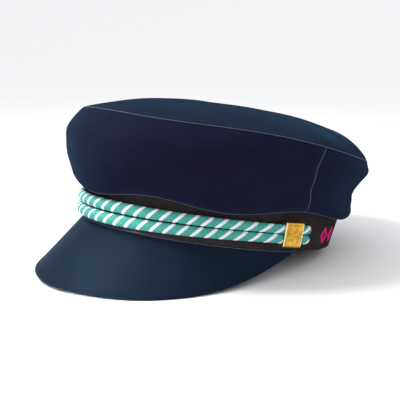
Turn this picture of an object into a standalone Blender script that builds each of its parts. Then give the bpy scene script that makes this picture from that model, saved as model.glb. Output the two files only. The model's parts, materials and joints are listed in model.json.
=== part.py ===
"""A sailor cap at rest on a table: a soft crown over an upright band, a peak and a cord in front.

Each piece is worked out in the cap's worn frame: X to the wearer's left, the front towards -Y, and
the band's lower edge on z = 0. The empty cap_stand then leans all of them nose up, as the cap comes
to rest by itself on the peak's two lower corners and the back of its band. Lengths are in metres.
"""

import math

import bpy
import numpy as np

MM = 0.001

# Clearances
SEAM_GAP = 0.4 * MM  # between two pieces of cloth that are sewn together
SEAT_GAP = 0.4 * MM  # between a piece and the face that carries it

# Cord, and the clasps that hold its ends
CORD_RADIUS = 3.9 * MM  # half the height of one strand, at the front
CORD_RADIUS_CLASPED = 3.15 * MM  # half the height of one strand, in the clasp
CORD_FLATTENING = 0.76  # depth of a strand as a share of its height, pressed to the band
CORD_FLATTENING_CLASPED = 0.66  # the same, in the clasp
CORD_SPREAD = 1.0 * MM  # between the two strands, at the front
CORD_FOOT = 1.5 * MM  # band left bare below the strands, at the front
CORD_RISE = 2.1 * MM  # how much higher the middle of the strands is at the clasps
CORD_HEADROOM = 6.5 * MM  # band left bare between the strands and the crown's hem
CORD_TAIL = 11 * MM  # rounded end that comes out behind the clasp
CLASP_ANGLE = math.radians(87.6)  # round the cap from the front
CLASP_LENGTH = 15 * MM  # along the band
CLASP_PLATE = 0.9 * MM  # its front and back walls
CLASP_CHEEK = 1.6 * MM  # its upper and lower walls
CLASP_CORNER = 1.2 * MM  # rounding of its long edges

# Band
BAND_LENGTH = 201.3 * MM  # over its outer face at the lower edge, front to back
BAND_WIDTH = 165.4 * MM  # the same, side to side
BAND_WALL = 2.5 * MM
BAND_FLARE = 1.0 * MM  # how far the upper edge leans out
BAND_BACK_FLARE = 1.6 * MM  # how much further it leans out at the middle of the back
BAND_BACK_IN = 3.3 * MM  # how far the lower edge is drawn in there
BAND_TUCK = 4.6 * MM  # height that goes up behind the crown's hem
BAND_EDGE = 0.6 * MM  # rounding of the lower edge
BAND_SHOWN = CORD_FOOT + 4 * CORD_RADIUS + CORD_SPREAD + CORD_HEADROOM
BAND_HEIGHT = BAND_SHOWN + BAND_TUCK
BAND_FLATTENED = 0.6 * MM  # how far the back of the lower edge is pressed flat on the table

# Crown
CLOTH = 1.8 * MM  # wall of the crown
CROWN_HEIGHT = 47.9 * MM  # from the hem to the top seam
CROWN_BULGE = 16.9 * MM  # how far the side stands out from the band
CROWN_LEAN = 4.3 * MM  # how far the top seam is set back
CROWN_DOME = 20.0 * MM  # middle of the top, above the seam at the sides
DOME_FULLNESS = 2.6  # power that the top falls off with, from its middle to the seam
ROLL_FULLNESS = 12  # power of the part of the fall that rolls over beside the back's seam
BACK_ROLL = 0.3  # that part, as a share of the fall at the middle of the back
BACK_PUFF = 2.8 * MM  # how much higher the top swells towards the back
HEM_OUT = 9.9 * MM  # how far the crown stands out where the hem's fold meets the side
HEM_WAVE = 2.3 * MM  # how much the hem waves up and down
FOLD_REACH = 5.2 * MM  # lowest line of the hem's fold, out from the band's upper edge
FOLD_HOLLOW = 0.8 * MM  # radius left inside the hem's fold
SLUMP_DEPTH = 7.0 * MM  # how deep the back sinks in where it slumps over the band
SIDE_SEAM = math.radians(90.8)  # round the cap from the front, on each side

# Peak
PEAK_WALL = 2.2 * MM
PEAK_LENGTH = 53.6 * MM  # at the middle of the front, along its own slope
PEAK_CORNER_LENGTH = 1.8 * MM  # what is left of it at its two ends
PEAK_ANGLE = math.radians(93)  # round the cap from the front, to each end
PEAK_SLOPE = math.radians(51)  # down from level, at the middle of the front
PEAK_CURL = math.radians(39)  # how much steeper it is at its two ends
PEAK_FULLNESS = 1.65  # power that its length falls off with
PEAK_SHOULDER = 1.0 * MM  # how much longer that leaves it halfway to its ends

# Section of the crown's side: height as a share of CROWN_HEIGHT, reach as a share of the way from
# HEM_OUT to CROWN_BULGE, and set-back as a share of CROWN_LEAN.
SIDE_SECTION = np.array([
    # height, reach, set-back
    (0.00, 0.00, 0.00),
    (0.17, 0.45, -0.39),
    (0.34, 0.67, -0.98),
    (0.52, 0.92, -0.95),
    (0.68, 1.00, -0.90),
    (0.85, 0.89, 0.02),
    (1.00, 0.64, 1.00),
])

# Waves round the cap: how many, and their height as a share of HEM_WAVE or of CROWN_HEIGHT.
HEM_WAVES = ((1, -0.45), (2, -0.32), (6, -1.07))
SEAM_WAVES = ((1, 0.099), (3, -0.039), (4, 0.022), (6, 0.005))

# Folds across the back of the crown: height up the side, half width as a share of CROWN_HEIGHT,
# and depth as a share of SLUMP_DEPTH, inwards where it is positive.
BACK_FOLDS = (
    # height, half width, depth
    (0.17, 0.10, 0.45),
    (0.42, 0.20, 0.78),
    (0.78, 0.15, -0.51),
    (1.02, 0.14, 0.33),
)

SWELL_SCALE = 27 / 4  # makes the greatest value of share^4 (1 - share^2) one
FOLD_PULL = 2.8  # longest pull of the hem's fold, in widths of the fold
FOLD_LEAVING = 0.8  # pull out of the lowest line, as a share of the pull into it
FOLD_SLOPE_STEP = 0.02  # share of the side's height that the slope above the fold is read over
SEAM_SLOPE_STEP = 0.03  # share of the side's height that the slope below the seam is read over

# How finely the faces follow the curves
PANEL_COLUMNS = 36
PEAK_COLUMNS = 40
CORD_COLUMNS = 44
CORD_SIDES = 10
CLASP_COLUMNS = 4
FOLD_STEPS = 3
FRONT_HEIGHTS = np.array([0.10, 0.27, 0.45, 0.65, 0.85, 1.0])
BACK_HEIGHTS = np.array([0.10, 0.19, 0.27, 0.35, 0.43, 0.52, 0.62, 0.75, 0.88, 1.0])
DOME_RINGS = np.array([0.97, 0.92, 0.84, 0.70, 0.54, 0.38, 0.20])
LIP_TURNS = np.radians([50, 90])  # round the peak's edge, on its upper half
LIP_TURNS_BELOW = np.radians([50, 75])
NOSE_TURNS = np.radians([35, 65])  # round the cord's ends
SHARP_ANGLE = math.radians(40)  # a sharper edge than this is shown as an edge
TILT_HIGHEST = math.radians(40)  # the tilt is looked for below this
TILT_HALVINGS = 40
PEAK_STEPS = np.array([0.0, 0.33, 0.67, 1.0])


def clear_scene():
    for old in list(bpy.data.objects):
        bpy.data.objects.remove(old)


def waves(alpha, rows):
    """Sum of cosines round the cap, one for each row."""
    return sum(share * np.cos(count * alpha) for count, share in rows)


def ease(share):
    """0 to 1 with level ends: the smoothstep curve."""
    share = np.clip(share, 0, 1)
    return share * share * (3 - 2 * share)


def hermite(start, start_pull, end, end_pull, share):
    """Cubic from start to end that leaves and arrives along the two pulls."""
    return (
        (2 * share**3 - 3 * share**2 + 1) * start
        + (share**3 - 2 * share**2 + share) * start_pull
        + (3 * share**2 - 2 * share**3) * end
        + (share**3 - share**2) * end_pull
    )


def smooth_through(at, knots, values):
    """Cubic Hermite curve through the knots, with slopes taken from their neighbours."""
    slopes = np.gradient(values, knots)
    left = np.clip(np.searchsorted(knots, at) - 1, 0, len(knots) - 2)
    span = knots[left + 1] - knots[left]
    share = (at - knots[left]) / span
    return hermite(
        values[left], slopes[left] * span, values[left + 1], slopes[left + 1] * span, share
    )


def ring(alpha, out, height, back=0.0):
    """Points round the cap: the band's lower ellipse grown by out, moved back, at a height."""
    alpha, out, height, back = np.broadcast_arrays(alpha, out, height, back)
    across = (BAND_WIDTH / 2 + out) * np.sin(alpha)
    along = back - (BAND_LENGTH / 2 + out) * np.cos(alpha)
    return np.stack([across, along, height], axis=-1)


def arc_angle(length, alpha):
    """The turn round the cap that covers this length of the band near alpha."""
    return length / math.hypot(
        BAND_WIDTH / 2 * math.cos(alpha), BAND_LENGTH / 2 * math.sin(alpha)
    )


def at_back(alpha):
    """0 in front and at the sides, rising to 1 at the middle of the back."""
    return ease(-np.cos(alpha))


def band_top(alpha):
    """How far the band's outer face stands out at its upper edge."""
    return BAND_FLARE + BAND_BACK_FLARE * at_back(alpha)


def band_face(height, alpha):
    """How far the band's outer face stands out at a height."""
    share = height / BAND_HEIGHT
    return band_top(alpha) * share - BAND_BACK_IN * at_back(alpha) * (1 - share)


def add_solid(name, points, faces, stand, material):
    """One closed mesh object, turned so that its faces point out."""
    points = np.asarray(points, dtype=float)
    volume = 0.0
    for face in faces:
        corner = points[list(face)]
        for second, third in zip(corner[1:-1], corner[2:]):
            volume += np.dot(corner[0], np.cross(second, third))
    if volume < 0:
        faces = [tuple(reversed(face)) for face in faces]
    mesh = bpy.data.meshes.new(name)
    mesh.from_pydata(points.tolist(), [], faces)
    mesh.update()
    mesh.shade_smooth()
    mesh.set_sharp_from_angle(angle=SHARP_ANGLE)
    mesh.materials.append(material)
    solid = bpy.data.objects.new(name, mesh)
    solid.parent = stand
    bpy.context.scene.collection.objects.link(solid)
    return solid


def swept(sections, closed):
    """Points and faces of a solid whose section, a loop of points, is carried round the cap.

    Sections has one row for each place round the cap. An open sweep gets an end face at each end,
    laid between the first half of the loop and its second half, which runs back beside it.
    """
    columns, loop = sections.shape[:2]
    faces = []
    for column in range(columns if closed else columns - 1):
        here = column * loop
        beyond = (column + 1) % columns * loop
        for step in range(loop):
            after = (step + 1) % loop
            faces.append((here + step, here + after, beyond + after, beyond + step))
    if not closed:
        last = (columns - 1) * loop
        for step in range(loop // 2 - 1):
            across = loop - 1 - step
            faces.append((step, across, across - 1, step + 1))
            faces.append((last + step, last + step + 1, last + across - 1, last + across))
    return sections.reshape(-1, 3), faces


def hem_height(alpha):
    return BAND_SHOWN + HEM_WAVE * waves(alpha, HEM_WAVES)


def seam_height(alpha):
    return BAND_SHOWN + CROWN_HEIGHT * (1 + waves(alpha, SEAM_WAVES))


def side_reach(share, alpha):
    """How far the crown's side stands out at a share of its height, with the folds at the back."""
    reach = smooth_through(share, SIDE_SECTION[:, 0], SIDE_SECTION[:, 1])
    out = HEM_OUT + (CROWN_BULGE - HEM_OUT) * reach
    behind = np.clip(-np.cos(alpha), 0, 1)
    for height, half_width, depth in BACK_FOLDS:
        out = out - SLUMP_DEPTH * depth * behind * np.exp(-(((share - height) / half_width) ** 2))
    return out


def side_set_back(share):
    return CROWN_LEAN * smooth_through(share, SIDE_SECTION[:, 0], SIDE_SECTION[:, 2])


def side_point(share, alpha):
    """Reach, height and set-back of the side's outer face."""
    hem = hem_height(alpha)
    height = hem + (seam_height(alpha) - hem) * share
    return np.array([
        side_reach(share, alpha),
        height,
        side_set_back(share) + 0 * alpha,
    ])


def back_puff(alpha):
    """Swell of the top towards the back, nothing in front and whole at the middle of the back."""
    return BACK_PUFF * ((1 - np.cos(alpha)) / 2) ** 2


def back_roll(alpha):
    """Share of the top's fall that rolls over beside the seam, greatest at the middle of the back."""
    return BACK_ROLL * ((1 - np.cos(alpha)) / 2) ** 2


def dome_height(share, drop, alpha):
    """Height of the top, measured from its middle, at a share of the way out to the seam."""
    swell = SWELL_SCALE * share**4 * (1 - share**2)
    rolled = back_roll(alpha)
    fall = (1 - rolled) * share**DOME_FULLNESS + rolled * share**ROLL_FULLNESS
    return back_puff(alpha) * swell - drop * fall


def dome_fall(share, drop, alpha):
    """How fast the top's height falls, for each whole way from the middle to the seam."""
    swelling = SWELL_SCALE * (4 * share**3 - 6 * share**5)
    rolled = back_roll(alpha)
    falling = (1 - rolled) * DOME_FULLNESS * share ** (DOME_FULLNESS - 1)
    falling = falling + rolled * ROLL_FULLNESS * share ** (ROLL_FULLNESS - 1)
    return drop * falling - back_puff(alpha) * swelling


def dome_middle():
    """The highest point of the crown's top."""
    sides = math.pi / 2
    return np.array([0.0, CROWN_LEAN * SIDE_SECTION[-1, 2], seam_height(sides) + CROWN_DOME])


def seam_corner(alpha):
    """The top seam in section: its outer point, its inner one, and the pulls of side and top."""
    seam = side_point(1.0, alpha)
    below = side_point(1 - SEAM_SLOPE_STEP, alpha)
    rise = (seam - below)[:2]
    rise = rise / np.hypot(*rise)
    edge = ring(alpha, seam[0], seam[1], seam[2])
    run = np.hypot(*(edge - dome_middle())[..., :2].T)
    slope = np.arctan2(dome_fall(1.0, dome_middle()[2] - edge[..., 2], alpha), run)
    inward = np.array([-np.cos(slope), np.sin(slope)])
    side_normal = np.array([-rise[1], rise[0]])
    top_normal = np.array([-inward[1], inward[0]])
    mitre = (side_normal + top_normal) / (1 + (side_normal * top_normal).sum(0)) * CLOTH
    trim = SEAM_GAP / 2 * np.hypot(*mitre) / CLOTH
    return seam, mitre, rise * trim, inward * trim


def side_section(alpha, heights):
    """Loops of the crown's side round alpha: flange on the band, hem fold, side, and back inside."""
    hem = hem_height(alpha)
    seat = BAND_HEIGHT + SEAT_GAP + 0 * alpha
    inner_end = np.array([band_top(alpha) - BAND_WALL, seat, 0 * alpha])
    flange_end = np.array([band_top(alpha) + SEAT_GAP, seat, 0 * alpha])
    lowest = np.array([band_top(alpha) + FOLD_REACH, hem, 0 * alpha])
    side = [side_point(share, alpha) for share in heights]
    run = FOLD_REACH - SEAT_GAP
    pull = np.sqrt(6 * (seat - hem) * (CLOTH + FOLD_HOLLOW))
    pull = np.clip(pull, run, FOLD_PULL * run)
    level = np.array([pull, 0 * alpha, 0 * alpha])
    up = side_point(heights[0] + FOLD_SLOPE_STEP, alpha) - side_point(heights[0], alpha)
    up = up / np.hypot(up[0], up[1]) * np.hypot(*(side[0] - lowest)[:2])
    shares = np.arange(1, FOLD_STEPS + 1) / FOLD_STEPS
    outer = [inner_end, flange_end]
    outer += [hermite(flange_end, level, lowest, level, share) for share in shares]
    leaving = level * FOLD_LEAVING
    outer += [hermite(lowest, leaving, side[0], up, share) for share in shares[:-1]]
    outer += side
    outer = np.stack(outer)
    seam, mitre, side_trim, _ = seam_corner(alpha)
    tangent = np.gradient(outer[:, :2], axis=0)
    tangent[0] = (outer[1] - outer[0])[:2]
    tangent = tangent / np.linalg.norm(tangent, axis=1, keepdims=True)
    inner = outer.copy()
    inner[:, 0] -= CLOTH * tangent[:, 1]
    inner[:, 1] += CLOTH * tangent[:, 0]
    outer[-1, :2] = seam[:2] - side_trim
    inner[-1, :2] = seam[:2] + mitre - side_trim
    loop = np.concatenate([outer, inner[::-1]])
    return np.stack([ring(alpha, p[0], p[1], p[2]) for p in loop], axis=1)


def panel_angles(start, end):
    """Places round the cap from one side seam to the other, with half the seam's gap left."""
    half_gap = SEAM_GAP / BAND_WIDTH
    return np.linspace(start + half_gap, end - half_gap, PANEL_COLUMNS + 1)


def front_angles():
    return panel_angles(-SIDE_SEAM, SIDE_SEAM)


def back_angles():
    return panel_angles(SIDE_SEAM, 2 * math.pi - SIDE_SEAM)


def all_angles():
    return np.concatenate([front_angles(), back_angles()[1:-1]])


def crown_top():
    """The domed top, with the swell towards its back."""
    alpha = all_angles()
    seam, mitre, _, top_trim = seam_corner(alpha)
    middle = dome_middle()
    edge = ring(alpha, seam[0], seam[1], seam[2])
    outer = [ring(alpha, seam[0] + top_trim[0], seam[1] + top_trim[1], seam[2])]
    inner = [outer[0] + ring(alpha, mitre[0], mitre[1]) - ring(alpha, 0, 0)]
    for share in DOME_RINGS:
        point = middle + (edge - middle) * share
        drop = middle[2] - edge[:, 2]
        point[:, 2] = middle[2] + dome_height(share, drop, alpha)
        spoke = (edge - middle)[:, :2]
        run = np.linalg.norm(spoke, axis=1)
        slope = np.arctan2(dome_fall(share, drop, alpha), run)
        normal = np.column_stack([
            spoke / run[:, None] * np.sin(slope)[:, None],
            np.cos(slope),
        ])
        outer.append(point)
        inner.append(point - CLOTH * normal)
    count = len(alpha)
    points = np.concatenate([*outer, *inner, [middle], [middle - (0, 0, CLOTH)]])
    rings = len(outer)
    faces = []
    for column in range(count):
        beside = (column + 1) % count
        for step in range(rings - 1):
            here, inward = step * count, (step + 1) * count
            faces.append((here + column, here + beside, inward + beside, inward + column))
            here, inward = here + rings * count, inward + rings * count
            faces.append((here + beside, here + column, inward + column, inward + beside))
        last = (rings - 1) * count
        faces.append((last + column, last + beside, 2 * rings * count))
        last += rings * count
        faces.append((last + beside, last + column, 2 * rings * count + 1))
        faces.append((column, rings * count + column, rings * count + beside, beside))
    return points, faces


def crown_side(alpha, heights):
    return swept(side_section(alpha, heights), closed=False)


def band():
    """The upright oval wall, with its lower edge rounded."""
    alpha = all_angles()
    foot = band_face(0, alpha)
    top = band_top(alpha)
    section = (
        (foot, BAND_EDGE),
        (foot - BAND_EDGE, 0),
        (foot + BAND_EDGE - BAND_WALL, 0),
        (foot - BAND_WALL, BAND_EDGE),
        (top - BAND_WALL, BAND_HEIGHT),
        (top, BAND_HEIGHT),
    )
    loops = np.stack([ring(alpha, out, height) for out, height in section], axis=1)
    return swept(loops, closed=True)


def peak():
    """The visor: straight out and down from the band, steeper and shorter towards its ends."""
    share = np.linspace(-1, 1, PEAK_COLUMNS + 1)
    alpha = share * PEAK_ANGLE
    slope = PEAK_SLOPE + PEAK_CURL * share**2
    tip = PEAK_LENGTH - PEAK_CORNER_LENGTH
    length = PEAK_CORNER_LENGTH + tip * (1 - np.abs(share) ** PEAK_FULLNESS)
    length = length + PEAK_SHOULDER * np.sin(math.pi * share) ** 2
    root = ring(alpha, 0, -SEAT_GAP)
    square = np.stack([np.sin(alpha) / BAND_WIDTH, -np.cos(alpha) / BAND_LENGTH], axis=1)
    square = square / np.linalg.norm(square, axis=1, keepdims=True)
    down = np.column_stack([square * np.cos(slope)[:, None], -np.sin(slope)])
    under = np.column_stack([-square * np.sin(slope)[:, None], -np.cos(slope)])
    half = PEAK_WALL / 2
    straight = length - half
    behind = -PEAK_WALL / np.tan(slope)

    def place(along, below):
        return root + down * np.reshape(along, (-1, 1)) + under * below

    top = [place(straight * step, 0) for step in PEAK_STEPS]
    top += [place(straight + half * math.sin(turn), half - half * math.cos(turn))
            for turn in LIP_TURNS]
    bottom = [place(behind + (straight - behind) * step, PEAK_WALL) for step in PEAK_STEPS]
    bottom += [place(straight + half * math.sin(turn), half + half * math.cos(turn))
               for turn in LIP_TURNS_BELOW]
    return swept(np.stack(top + bottom[::-1], axis=1), closed=False)


def clasp_half_angle():
    return arc_angle(CLASP_LENGTH / 2, CLASP_ANGLE)


def drawn_in(alpha):
    """0 at the middle of the front, rising to 1 where the strands enter the clasp."""
    return ease(np.abs(alpha) / (CLASP_ANGLE - clasp_half_angle()))


def cord_radius(alpha):
    """Half the height of a strand: fullest in front, drawn in towards the clasp."""
    return CORD_RADIUS + (CORD_RADIUS_CLASPED - CORD_RADIUS) * drawn_in(alpha)


def cord_depth(alpha):
    """Half the depth of a strand, out from the band."""
    flattening = CORD_FLATTENING + (CORD_FLATTENING_CLASPED - CORD_FLATTENING) * drawn_in(alpha)
    return cord_radius(alpha) * flattening


def cord_spread(alpha):
    return CORD_SPREAD + (SEAT_GAP - CORD_SPREAD) * drawn_in(alpha)


def cord_middle(alpha):
    """Height of the line between the two strands."""
    front = CORD_FOOT + 2 * CORD_RADIUS + CORD_SPREAD / 2
    return front + CORD_RISE * ease(np.abs(alpha) / CLASP_ANGLE)


def cord_stand_off(alpha):
    """Gap behind a strand, which lifts off the band to pass through the clasp."""
    clasp_edge = CLASP_ANGLE - clasp_half_angle()
    lifted = ease(1 + (np.abs(alpha) - clasp_edge) / (3 * clasp_half_angle()))
    return SEAT_GAP + (CLASP_PLATE + SEAT_GAP) * lifted


def cord(side):
    """One strand: an upright oval section carried round the front, with rounded ends."""
    reach = CLASP_ANGLE + clasp_half_angle() + arc_angle(CORD_TAIL, CLASP_ANGLE)
    turn = np.linspace(0, 2 * math.pi, CORD_SIDES, endpoint=False)
    blunt = arc_angle(CORD_RADIUS_CLASPED, CLASP_ANGLE)
    alpha = np.linspace(blunt - reach, reach - blunt, CORD_COLUMNS + 1)
    nose = reach - blunt + blunt * np.sin(NOSE_TURNS)
    alpha = np.concatenate([-nose[::-1], alpha, nose])
    round_off = np.cos(NOSE_TURNS)
    fullness = np.concatenate([round_off[::-1], np.ones(CORD_COLUMNS + 1), round_off])
    radius = cord_radius(alpha)
    depth = cord_depth(alpha)
    height = cord_middle(alpha) + side * (cord_spread(alpha) / 2 + radius)
    out = band_face(height, alpha) + cord_stand_off(alpha) + depth
    sections = np.stack([
        ring(
            alpha,
            out + fullness * depth * math.cos(angle),
            height + fullness * radius * math.sin(angle),
        )
        for angle in turn
    ], axis=1)
    return swept(sections, closed=False)


def rounded_box(low_out, high_out, low, high, corner):
    """Eight points of a box section with its four corners cut."""
    return [
        (low_out + corner, low),
        (high_out - corner, low),
        (high_out, low + corner),
        (high_out, high - corner),
        (high_out - corner, high),
        (low_out + corner, high),
        (low_out, high - corner),
        (low_out, low + corner),
    ]


def clasp(side):
    """A short flat sleeve round both strands, bent with the band."""
    alpha = side * np.linspace(
        CLASP_ANGLE - clasp_half_angle(), CLASP_ANGLE + clasp_half_angle(), CLASP_COLUMNS + 1
    )
    half_inside = 2 * CORD_RADIUS_CLASPED + SEAT_GAP / 2 + SEAT_GAP
    depth_inside = 2 * cord_depth(CLASP_ANGLE) + 2 * SEAT_GAP
    middle = cord_middle(CLASP_ANGLE)
    back = SEAT_GAP + band_face(middle, CLASP_ANGLE)
    outside = rounded_box(
        back,
        back + depth_inside + 2 * CLASP_PLATE,
        middle - half_inside - CLASP_CHEEK,
        middle + half_inside + CLASP_CHEEK,
        CLASP_CORNER,
    )
    inside = rounded_box(
        back + CLASP_PLATE,
        back + CLASP_PLATE + depth_inside,
        middle - half_inside,
        middle + half_inside,
        CLASP_CORNER / 2,
    )
    loop = len(outside)
    lean = BAND_FLARE / BAND_HEIGHT
    sections = np.stack([
        ring(alpha, out + lean * (height - middle), height) for out, height in outside + inside
    ], axis=1)
    points = sections.reshape(-1, 3)
    faces = []
    for step in range(loop):
        after = (step + 1) % loop
        for column in range(CLASP_COLUMNS):
            here, beyond = column * 2 * loop, (column + 1) * 2 * loop
            faces.append((here + step, here + after, beyond + after, beyond + step))
            here, beyond = here + loop, beyond + loop
            faces.append((here + after, here + step, beyond + step, beyond + after))
        last = CLASP_COLUMNS * 2 * loop
        faces.append((after, step, loop + step, loop + after))
        faces.append((last + step, last + after, last + loop + after, last + loop + step))
    return points, faces


def lean(points, tilt):
    """The points with the cap's nose lifted by the tilt, about the X axis."""
    across, along, height = np.asarray(points).T
    return np.column_stack([
        across,
        along * math.cos(tilt) + height * math.sin(tilt),
        height * math.cos(tilt) - along * math.sin(tilt),
    ])


def settled_tilt():
    """The tilt at which the peak's corners and the back of the band reach the table together."""
    peak_points, band_points = peak()[0], band()[0]
    low, high = 0.0, TILT_HIGHEST
    for _ in range(TILT_HALVINGS):
        tilt = (low + high) / 2
        peak_foot = lean(peak_points, tilt)[:, 2].min()
        band_foot = lean(band_points, tilt)[:, 2].min() + BAND_FLATTENED
        low, high = (tilt, high) if peak_foot < band_foot else (low, tilt)
    return (low + high) / 2


def place_on_table(tilt):
    """An empty that leans the cap and stands it on z = 0, with the middle of its box over the origin."""
    foot = lean(peak()[0], tilt)[:, 2].min()
    front = lean(peak()[0], tilt)[:, 1].min()
    back = lean(crown_side(back_angles(), BACK_HEIGHTS)[0], tilt)[:, 1].max()
    stand = bpy.data.objects.new("cap_stand", None)
    stand.rotation_euler = (-tilt, 0, 0)
    stand.location = (0, -(front + back) / 2, -foot)
    bpy.context.scene.collection.objects.link(stand)
    return stand


def pressed_flat(points, tilt, lift):
    """The band's points, with those that would sink below the table brought up to it."""
    depth = np.clip(-(lean(points, tilt)[:, 2] + lift), 0, None)
    upwards = np.array([0.0, -math.sin(tilt), math.cos(tilt)])
    return points + depth[:, None] * upwards


def make_material(name, colour, roughness, metallic=0.0):
    material = bpy.data.materials.new(name)
    material.use_nodes = True
    shader = material.node_tree.nodes["Principled BSDF"]
    shader.inputs["Base Color"].default_value = (*colour, 1)
    shader.inputs["Roughness"].default_value = roughness
    shader.inputs["Metallic"].default_value = metallic
    return material


def build():
    clear_scene()
    navy = make_material("navy_cloth", (0.011, 0.012, 0.028), 0.8)
    black = make_material("black_ribbon", (0.018, 0.017, 0.017), 0.7)
    patent = make_material("navy_patent", (0.010, 0.012, 0.026), 0.3)
    teal = make_material("teal_cord", (0.10, 0.48, 0.42), 0.7)
    gold = make_material("gold_brass", (0.68, 0.42, 0.07), 0.35, 1.0)
    tilt = settled_tilt()
    stand = place_on_table(tilt)
    band_points, band_faces = band()
    band_points = pressed_flat(band_points, tilt, stand.location.z)
    add_solid("crown_top", *crown_top(), stand, navy)
    add_solid("crown_front", *crown_side(front_angles(), FRONT_HEIGHTS), stand, navy)
    add_solid("crown_back", *crown_side(back_angles(), BACK_HEIGHTS), stand, navy)
    add_solid("band", band_points, band_faces, stand, black)
    add_solid("peak", *peak(), stand, patent)
    for name, side in (("cord_upper", 1), ("cord_lower", -1)):
        add_solid(name, *cord(side), stand, teal)
    for name, side in (("clasp_left", 1), ("clasp_right", -1)):
        add_solid(name, *clasp(side), stand, gold)


build()
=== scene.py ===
"""Looks of the sailor cap: a soft navy crown, a ribbed band, a peak, a striped cord and clasps.

Shapes are worked out in the cap's worn frame, with X to the wearer's left, the front towards -Y
and the band's lower edge on z = 0. A place round the cap is its angle alpha from the front. Then
stood() leans everything nose up and sets it on the table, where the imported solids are. Lengths
are in metres.
"""

import json
import math

import bmesh
import bpy
import numpy as np
from mathutils import Matrix, Vector


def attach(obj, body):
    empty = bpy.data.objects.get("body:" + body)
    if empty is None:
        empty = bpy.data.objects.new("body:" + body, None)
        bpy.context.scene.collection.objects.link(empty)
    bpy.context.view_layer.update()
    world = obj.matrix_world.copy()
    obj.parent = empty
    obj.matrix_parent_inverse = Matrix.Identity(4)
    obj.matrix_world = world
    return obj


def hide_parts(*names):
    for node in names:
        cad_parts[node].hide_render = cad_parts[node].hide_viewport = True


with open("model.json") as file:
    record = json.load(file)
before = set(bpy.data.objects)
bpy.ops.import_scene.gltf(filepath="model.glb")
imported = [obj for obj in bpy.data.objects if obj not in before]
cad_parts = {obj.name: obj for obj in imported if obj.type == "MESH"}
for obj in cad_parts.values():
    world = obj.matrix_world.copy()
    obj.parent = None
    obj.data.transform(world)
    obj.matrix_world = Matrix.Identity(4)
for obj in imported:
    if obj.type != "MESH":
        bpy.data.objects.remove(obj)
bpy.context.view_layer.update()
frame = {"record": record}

MM = 0.001

# Camera, fitted to the photograph
VIEW_ROUND = math.radians(51.612)  # turned to the wearer's left of the front
VIEW_ABOVE = math.radians(12.282)  # the horizon
VIEW_ROLL = math.radians(-0.336)
VIEW_DISTANCE = 625.5 * MM
VIEW_FOCAL = 833.9  # pixels
VIEW_SIDE = 400  # pixels
SENSOR = 36  # millimetres
TARGET_SIDE = -8.515 * MM  # of the middle of the view, from the middle of the band
TARGET_UP = 21.478 * MM

# Clearances
SEAM_GAP = 0.4 * MM
SEAT_GAP = 0.4 * MM

# Cord and clasps
CORD_RADIUS = 3.9 * MM  # half the height of one strand, at the front
CORD_RADIUS_CLASPED = 3.15 * MM
CORD_FLATTENING = 0.76  # depth of a strand as a share of its height
CORD_FLATTENING_CLASPED = 0.66
CORD_SPREAD = 1.0 * MM  # between the two strands, at the front
CORD_FOOT = 1.5 * MM  # band left bare below the strands
CORD_RISE = 2.1 * MM  # from the front to the clasps
CORD_HEADROOM = 6.5 * MM  # band left bare above the strands
CORD_TAIL = 11 * MM  # rounded end behind the clasp
CLASP_ANGLE = math.radians(87.6)
CLASP_LENGTH = 15 * MM
CLASP_PLATE = 0.9 * MM
CLASP_CHEEK = 1.6 * MM  # thickness above and below the strands
CLASP_CORNER = 1.2 * MM

# Band
BAND_LENGTH = 201.3 * MM
BAND_WIDTH = 165.4 * MM
BAND_WALL = 2.5 * MM
BAND_FLARE = 1.0 * MM  # how much further out its upper edge stands
BAND_BACK_FLARE = 1.6 * MM  # the same, added at the back
BAND_BACK_IN = 3.3 * MM  # how far its lower edge is drawn in at the back
BAND_TUCK = 4.6 * MM  # height hidden in the crown
BAND_EDGE = 0.6 * MM  # rounding of its lower edge
BAND_GROOVE = 0.16 * MM  # depth of the fine line pressed round the band, above its lower edge
BAND_GROOVE_RISE = 1.9 * MM
BAND_GROOVE_REACH = 0.3 * MM
BAND_SHOWN = CORD_FOOT + 4 * CORD_RADIUS + CORD_SPREAD + CORD_HEADROOM
BAND_HEIGHT = BAND_SHOWN + BAND_TUCK

# Crown
CLOTH = 1.8 * MM
CROWN_HEIGHT = 47.9 * MM
CROWN_BULGE = 16.9 * MM
CROWN_LEAN = 4.3 * MM
CROWN_DOME = 20.0 * MM
DOME_FULLNESS = 2.6
ROLL_FULLNESS = 12  # of the part of the top's fall that rolls over beside the back's seam
BACK_ROLL = 0.3  # that part, as a share of the fall at the middle of the back
BACK_PUFF = 2.8 * MM
HEM_OUT = 9.9 * MM
HEM_WAVE = 2.3 * MM
FOLD_REACH = 5.2 * MM  # of the hem's lowest point beyond the band
FOLD_HOLLOW = 0.8 * MM  # air kept inside the fold
SLUMP_DEPTH = 7.0 * MM
SIDE_SEAM = math.radians(90.8)

# Peak
PEAK_WALL = 2.2 * MM
PEAK_LENGTH = 53.6 * MM
PEAK_CORNER_LENGTH = 1.8 * MM  # its length at both ends
PEAK_ANGLE = math.radians(93)
PEAK_SLOPE = math.radians(51)
PEAK_CURL = math.radians(39)
PEAK_FULLNESS = 1.65
PEAK_SHOULDER = 1.0 * MM

# Height up the crown's side, reach from HEM_OUT to CROWN_BULGE, and set-back of CROWN_LEAN.
SIDE_SECTION = np.array([
    # height, reach, set-back
    (0.00, 0.00, 0.00),
    (0.17, 0.45, -0.39),
    (0.34, 0.67, -0.98),
    (0.52, 0.92, -0.95),
    (0.68, 1.00, -0.90),
    (0.85, 0.89, 0.02),
    (1.00, 0.64, 1.00),
])

# Waves round the cap: how many, and their height as a share of HEM_WAVE or of CROWN_HEIGHT.
HEM_WAVES = ((1, -0.45), (2, -0.32), (6, -1.07))
SEAM_WAVES = ((1, 0.099), (3, -0.039), (4, 0.022), (6, 0.005))

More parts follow.
